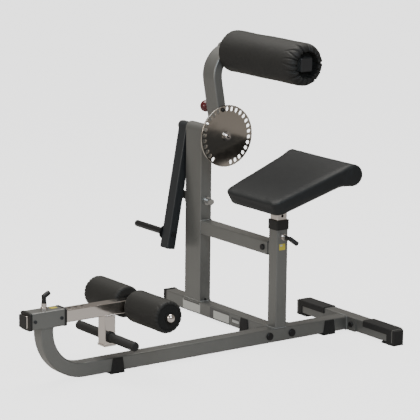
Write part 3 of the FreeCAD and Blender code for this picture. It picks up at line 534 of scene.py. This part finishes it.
def seat_cushion():
    """Side profile pushed across, tapered, rounded, filled and sat on."""
    points = [Vector((u, -1, w)) / 1000 for u, w in seat_profile()]
    pad = outline_piece(points, True)
    edit(pad)
    bpy.ops.mesh.select_all(action="SELECT")
    bpy.ops.mesh.edge_face_add()
    bpy.ops.mesh.extrude_region_move(TRANSFORM_OT_translate={"value": (0, 0.002, 0)})
    bpy.ops.mesh.select_all(action="SELECT")
    bpy.ops.mesh.normals_make_consistent(inside=False)
    mesh = bmesh.from_edit_mesh(pad.data)
    for vertex in mesh.verts:
        u, w = vertex.co.x * 1000, vertex.co.z * 1000
        drawn_in = DRAWN_IN * min(1, max(0, -w / 55)) * min(1, max(0, (160 - u) / 50))
        half = half_width(u) - 1.5 - drawn_in
        vertex.co.y = math.copysign(half / 1000, vertex.co.y)
    bmesh.update_edit_mesh(pad.data)
    pick(pad, "EDGE", lambda middle, e: middle.x < -0.13
         and abs(e.verts[0].co.y - e.verts[1].co.y) < 0.02
         and abs(e.verts[0].co.z - e.verts[1].co.z) > 0.03)
    bpy.ops.mesh.bevel(offset=0.030, segments=8, affect="EDGES")
    pick(pad, "EDGE", lambda middle, e: e.calc_face_angle(0) > 0.95)
    bpy.ops.mesh.bevel(offset=0.012, segments=6, affect="EDGES")
    pick(pad, "FACE", lambda middle, f: f.normal.z < -0.95 and f.calc_area() > 0.02)
    bpy.ops.mesh.inset(thickness=0.018)
    bpy.ops.mesh.extrude_region_move(TRANSFORM_OT_translate={"value": (0, 0, 0.013)})
    done()
    puff(pad, 0.0042, 4.0, 0.0026, lambda co: co.z < -0.040 and co.x < 0.14)
    crown(pad)
    apply(pad, "SMOOTH", factor=0.5, iterations=8)
    apply(pad, "SUBSURF", levels=1, render_levels=1)
    seat_seams(pad)
    pad.data.transform(SLOPE)
    keep(pad, "seat_cushion", "seat", "vinyl", stands_for=("seat_pad",), angle=70)


def crown(pad):
    """A sat-on hollow in the middle of the top and faint pulls at the corners."""
    for vertex in pad.data.vertices:
        x, y, z = vertex.co
        if z < -0.02 or x > 0.15:
            continue
        u = (x * 1000 - FRONT) / (BACK - FRONT)
        v = y * 1000 / half_width(x * 1000)
        rise = (1 - v ** 4) * math.sin(math.pi * min(1, max(0, u)))
        dip = math.exp(-((u - 0.45) ** 2 * 9 + v * v * 3))
        pulls = noise.noise(Vector((x * 22, y * 22, 0.3))) * 0.0005
        vertex.co.z = z + 0.0016 * rise - 0.0022 * dip + pulls


def seat_seams(pad):
    """Seam round each end of the roll, laid on the cushion, and staples under its rim."""
    for side, hand in ((-1, "right"), (1, "left")):
        ring = []
        for i in range(60):
            turn = math.tau * i / 60
            spot = Vector((ROLL_X + 37 * math.cos(turn), side * (half_width(ROLL_X) + 4),
                           ROLL_Z + 37 * math.sin(turn))) / 1000
            ring.append(SLOPE @ pad.closest_point_on_mesh(spot)[1])
        seam_line("roll_seam_" + hand, ring, 0.8)
    staples = []
    for u in range(-96, 97, 24):
        for side in (-1, 1):
            staples.append((Vector((u, side * (half_width(u) - 27), 0)), 0))
    for y in range(-96, 97, 24):
        staples.append((Vector((-127, y, 0)), 90))
        staples.append((Vector((121, y, 0)), 90))
    row = []
    for spot, turn in staples:
        clear()
        bpy.ops.mesh.primitive_cube_add(size=1, scale=(0.010, 0.0011, 0.0009))
        staple = bpy.context.object
        settle(staple)
        apply(staple, "BEVEL", width=0.0003, segments=2)
        spot.z = SEAT_LOW - 8
        touch = pad.closest_point_on_mesh(spot / 1000)[1]
        quarter = Matrix.Rotation(math.radians(turn), 4, "Z")
        staple.data.transform(Matrix.Translation(touch) @ quarter)
        row.append(staple)
    joined = join(row)
    joined.data.transform(SLOPE)
    keep(joined, "seat_staples", "seat", "steel")


def seam_line(name, points, radius):
    """Thin raised seam along a closed loop of points on the seat."""
    piece = polyline(name, points, True)
    piece.data.bevel_depth = radius / 1000
    piece.data.bevel_resolution = 2
    take(piece)
    bpy.ops.object.convert(target="MESH")
    return keep(bpy.context.object, name, "seat", "vinyl", angle=60)


# --- covered rolls -----------------------------------------------------------------
def gather(piece, centre, end_y, inward, folds, reach, depth, seed):
    """Draw a cover in at one end: uneven folds that run back from its rim."""
    draw = random.Random(seed)
    creases = []
    for index in range(folds):
        angle = math.tau * (index + draw.uniform(-0.3, 0.3)) / folds
        creases.append((angle, depth * draw.uniform(0.3, 1.0), reach * draw.uniform(0.45, 1.0),
                        draw.uniform(2.6, 4.4), draw.uniform(-0.3, 0.3)))
    for vertex, normal in [(v, v.normal.copy()) for v in piece.data.vertices]:
        offset = (vertex.co - centre) * 1000
        out = math.hypot(offset.x, offset.z)
        back = max(0.0, (offset.y - end_y) * inward)
        if back > reach or out < 20:
            continue
        angle = math.atan2(offset.z, offset.x)
        sink = 0.0
        for crease, deep, far, wide, lean in creases:
            if back > far:
                continue
            gap = (angle - crease - lean * back / reach + math.pi) % math.tau - math.pi
            share = (1 - back / far) ** 0.6
            sink += deep * share * (math.exp(-(gap * out / wide) ** 2)
                                    - 0.35 * math.exp(-(gap * out / wide / 2.4) ** 2))
        vertex.co -= normal * sink / 1000


def rumple(piece, centre, low_y, high_y, height, seed):
    """Slow swells of the filling and a few slack creases across the cover."""
    for vertex in piece.data.vertices:
        offset = (vertex.co - centre) * 1000
        out = math.hypot(offset.x, offset.z)
        if out < 20:
            continue
        share = min(1.0, max(0.0, min(offset.y - low_y, high_y - offset.y) / 30))
        long = Vector((offset.x, offset.y * 0.6, offset.z)) / 55
        short = Vector((offset.x, offset.y * 2.2, offset.z)) / 48
        swell = noise.noise(long + Vector((seed, 0, 0)))
        crease = 1 - abs(noise.noise(short + Vector((0, seed, 0)))) * 2
        move = height * (swell - 0.9 * max(0.0, crease - 0.72)) * share
        vertex.co += Vector((offset.x, 0, offset.z)) / out * move / 1000


def thread_lines(piece, centre):
    """Thread coordinates in metres: round the roll, and along it."""
    lines = piece.data.attributes.new("thread", "FLOAT_VECTOR", "POINT")
    for vertex, line in zip(piece.data.vertices, lines.data):
        offset = vertex.co - centre
        out = math.hypot(offset.x, offset.z)
        line.vector = (math.atan2(-offset.x, offset.z) * out, offset.y + (0.08 - out) * 0.5, 0)


def bolster():
    """Covered roll on the lever: drawn in at its free end, flat at the arm."""
    low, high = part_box("bolster_pad")
    centre = Vector(((low.x + high.x) / 2, 0, (low.z + high.z) / 2))
    y0, y1 = low.y * 1000, high.y * 1000
    R, lip = 77.6, 52.0
    outline = [(lip - 3.5, y0 + 34), (lip - 2.5, y0 + 8)] + arc(lip, y0 - 1.0, 2.6, 180, 270, 4)
    outline += [(lip + (R - lip) * math.sin(math.radians(a)),
                 y0 + 30 - 33.6 * math.cos(math.radians(a))) for a in range(4, 91, 4)]
    outline += run((R, y0 + 30), (R, y0 + 90), 2.8) + [(R, y0 + 90)]
    outline += run((R, y0 + 90), (R, y1 - 10), 4.6)
    outline += arc(R - 10, y1 - 10, 10, 0, 90, 6)
    outline += run((R - 10, y1), (38.0, y1), 3.5)
    outline += [(38.0, y1), (38.0, y1 - 8)]
    roll = spun(outline, centre, 236)
    rumple(roll, centre, y0 + 6, y1 - 6, 1.5, 3.7)
    gather(roll, centre, y0, 1, 20, 62, 11.0, 5)
    gather(roll, centre, y1, -1, 22, 26, 1.6, 8)
    thread_lines(roll, centre)
    keep(roll, "bolster_cover", "lever", "cover", stands_for=("bolster_pad",), angle=80)
    core = spun([(27.0, y0 + 30), (lip - 3.8, y0 + 30), (lip - 3, y0 + 40), (R - 8, y0 + 50),
                 (R - 8, y1 - 40), (37.5, y1 - 20), (37.5, y1 - 2), (27.0, y1 - 2)], centre, 64)
    keep(core, "bolster_foam", "lever", "cover", FOAM)


def roller(side):
    """Foam roller in its cloth sleeve, drawn in over the outer end."""
    hand = "left" if side > 0 else "right"
    low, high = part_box("foam_roller_" + hand)
    centre = Vector(((low.x + high.x) / 2, 0, (low.z + high.z) / 2))
    R = (high.x - low.x) * 500
    outer, inner = (high.y * 1000, low.y * 1000) if side > 0 else (low.y * 1000, high.y * 1000)
    way = -side
    outline = [(45.0, outer + way * 8), (45.2, outer + way * 3)]
    outline += [(r, outer + way * back) for r, back in
                ((46.0, 0.8), (47.4, 0.0), (49.0, 0.2), (50.8, 1.0), (52.6, 2.2), (54.4, 4.2),
                 (55.8, 6.8), (56.6, 9.8), (R, 13.0))]
    outline += run((R, outer + way * 13), (R, inner - way * 12), 3.6)
    outline += [(r, inner - way * 12 + way * back) for r, back in arc(R - 12, 0, 12, 0, 90, 9)]
    outline += run((R - 12, inner), (30.0, inner), 4) + [(30.0, inner), (24.0, inner - way * 2.5)]
    sleeve = spun(outline, centre, 200)
    rumple(sleeve, centre, low.y * 1000 + 6, high.y * 1000 - 6, 0.8, 1.3 + side)
    gather(sleeve, centre, outer, way, 24, 24, 3.8, 11 + side)
    gather(sleeve, centre, inner, -way, 18, 20, 1.2, 15 + side)
    thread_lines(sleeve, centre)
    keep(sleeve, "roller_cover_" + hand, "roller_" + hand, "foam",
         stands_for=("foam_roller_" + hand,), angle=80)
    core = spun([(17.0, outer + way * 1.4), (24.0, outer + way * 1.8), (38.0, outer + way * 2.2),
                 (45.4, outer + way * 3.2), (46.0, outer + way * 8), (R - 5, outer + way * 16),
                 (R - 5, inner - way * 16), (25.5, inner - way * 4), (17.0, inner - way * 1)], centre, 72)
    keep(core, "roller_foam_" + hand, "roller_" + hand, "foam", FOAM)


# --- small steel and labels --------------------------------------------------------
X, Y, Z = Vector((1, 0, 0)), Vector((0, 1, 0)), Vector((0, 0, 1))


def welds():
    rail, rail_top, mid = 33.4, 58.8, 349.4
    square = (TUBE, TUBE, 4.0)
    joints = [
        ("weld_leg", at(-999.5, 0, 203.0), X, Y, square),
        ("weld_seat_post", at(0, 0, rail_top), X, Y, square),
        ("weld_rear_flange", at(309.2, 0, rail), Y, Z, square),
        ("weld_cross_flange", at(0, 31.8, rail), X, Z, square),
        ("weld_upright_foot", at(0, 503.2, rail_top), X, Y, (TUBE, 2 * TUBE, 4.0)),
        ("weld_mid_cross", at(0, 452.4, mid), X, Z, square),
    ]
    for name, centre, across, up, section in joints:
        bead(name, loop_points(centre, across, up, *section), "frame", "frame_paint")
    bead("weld_drop_tube", loop_points(at(-743, 0, 210.8), X, Y, 44.45, 44.45, 3.5),
         "foot_carriage", "chrome")
    ring = [at(21.0 * math.cos(a), 451.9, 718 + 21.0 * math.sin(a))
            for a in (math.tau * i / 40 for i in range(40))]
    bead("weld_housing", ring, "frame", "frame_paint", size=2.6)


def labels():
    plate("collar_label", at(-957, 6, 263.0), Z, X, 25, 20, 0.4, YELLOW)
    plate("post_label", at(-1, -25.4, 362), -Y, X, 27, 23, 0.4, YELLOW)
    plate("post_label_mark", at(-6, -25.8, 368), -Y, X, 11, 6, 0.2, WHITE)
    plate("label_far", at(-25.4, 505.5, 33), -X, -Y, 113, 38, 0.4, WHITE)
    plate("label_far_head", at(-25.8, 505.5, 48.5), -X, -Y, 107, 6, 0.2, PRINT)
    plate("label_mid", at(-25.4, 322, 33), -X, -Y, 126, 40, 0.4, PRINT)
    plate("label_mid_page", at(-25.8, 311, 30), -X, -Y, 100, 30, 0.2, WHITE)
    plate("label_near", at(-25.4, 222, 34), -X, -Y, 48, 20, 0.4, PRINT)
    plate("label_near_page", at(-25.8, 220, 31), -X, -Y, 42, 10, 0.2, WHITE)


def pin_tip():
    """The lever pin's tip where it shows through its slot, given a black finish as painted shade in the
    slot.
    """
    slot_ring, pivot_height, angle = 102.5, 718, math.radians(11.5)
    x, z = -slot_ring * math.sin(angle), pivot_height + slot_ring * math.cos(angle)
    tip = cylinder(at(x, 331.0, z), at(x, 316.0, z), 0.0062, 40)
    edit(tip)
    pick(tip, "EDGE", lambda middle, e: all(v.co.y < at(0, 316.5, 0).y for v in e.verts))
    bpy.ops.mesh.bevel(offset=0.002, segments=4, affect="EDGES")
    done()
    # black finish on the steel pin's tip: painted shade in the slot
    keep(tip, "lever_pin_tip", "arm_pin", "steel", FINISHES["black_plastic"])


# --- studio ------------------------------------------------------------------------
def studio():
    clear()
    bpy.ops.mesh.primitive_plane_add(size=40, location=(0, 0, 0))
    floor = bpy.context.object
    floor.name = "studio_floor"
    pale = Finish("pale floor", roughness=0.9)
    pale.set("Base Color", pale.blend(pale.noise(1.5), (0.80, 0.79, 0.78), (0.83, 0.82, 0.81)))
    pale.set("Alpha", 0.42)
    floor.data.materials.append(pale.material)
    world = bpy.data.worlds.new("studio")
    bpy.context.scene.world = world
    world.use_nodes = True
    tree = world.node_tree
    seen, around = tree.nodes["Background"], tree.nodes.new("ShaderNodeBackground")
    seen.inputs["Color"].default_value = (1, 1, 1, 1)
    seen.inputs["Strength"].default_value = 4.0
    around.inputs["Color"].default_value = (1.0, 0.93, 0.85, 1)
    around.inputs["Strength"].default_value = 0.24
    path, mix = tree.nodes.new("ShaderNodeLightPath"), tree.nodes.new("ShaderNodeMixShader")
    tree.links.new(path.outputs["Is Camera Ray"], mix.inputs[0])
    tree.links.new(around.outputs[0], mix.inputs[1])
    tree.links.new(seen.outputs[0], mix.inputs[2])
    tree.links.new(mix.outputs[0], tree.nodes["World Output"].inputs[0])
    for name, place, size, power, colour in (
        ("key", (-1.2, -3.2, 2.6), 1.8, 62, (0.78, 0.89, 1.0)),
        ("fill", (-3.4, -0.4, 1.6), 1.6, 36, (1.0, 0.94, 0.86)),
        ("top", (0.2, 0.6, 3.8), 2.6, 128, (1.0, 0.97, 0.92)),
    ):
        light = bpy.data.lights.new(name, "AREA")
        light.size = size
        light.energy = power
        light.color = colour
        lamp = bpy.data.objects.new(name, light)
        lamp.location = place
        aim = Vector((0.1, 0, 0.45)) - Vector(place)
        lamp.rotation_euler = aim.to_track_quat("-Z", "Y").to_euler()
        bpy.context.scene.collection.objects.link(lamp)


def camera():
    yaw, pitch, roll = math.radians(35.786), math.radians(11.959), math.radians(0.655)
    flat = math.cos(pitch)
    ahead = Vector((math.sin(yaw) * flat, math.cos(yaw) * flat, -math.sin(pitch)))
    level = Vector((math.cos(yaw), -math.sin(yaw), 0))
    raised = level.cross(ahead)
    right = level * math.cos(roll) + raised * math.sin(roll)
    up = raised * math.cos(roll) - level * math.sin(roll)
    data = bpy.data.cameras.new("view")
    data.sensor_width = 36.0
    data.lens = 193.88
    data.clip_end = 100
    view = bpy.data.objects.new("view", data)
    turn = Matrix((right, up, -ahead)).transposed().to_4x4()
    view.matrix_world = Matrix.Translation(at(-4894.2, -6363.0, 2191.3)) @ turn
    bpy.context.scene.collection.objects.link(view)
    bpy.context.scene.camera = view


# --- whole scene -------------------------------------------------------------------
camera()
studio()
for entry in frame["record"]["subparts"]:
    for holder in frame["nodes"][entry["node"]].material_slots:
        holder.material = FINISHES[entry["material_slot"]]
for node, finish in (("selector_disc", DISC_PLATE), ("weight_horn", HORN), ("frame_bolts", BOLTS),
                     ("bolster_plug", PLUG)):
    for holder in frame["nodes"][node].material_slots:
        holder.material = finish
seat_cushion()
bolster()
for hand in (-1, 1):
    roller(hand)
welds()
labels()
pin_tip()
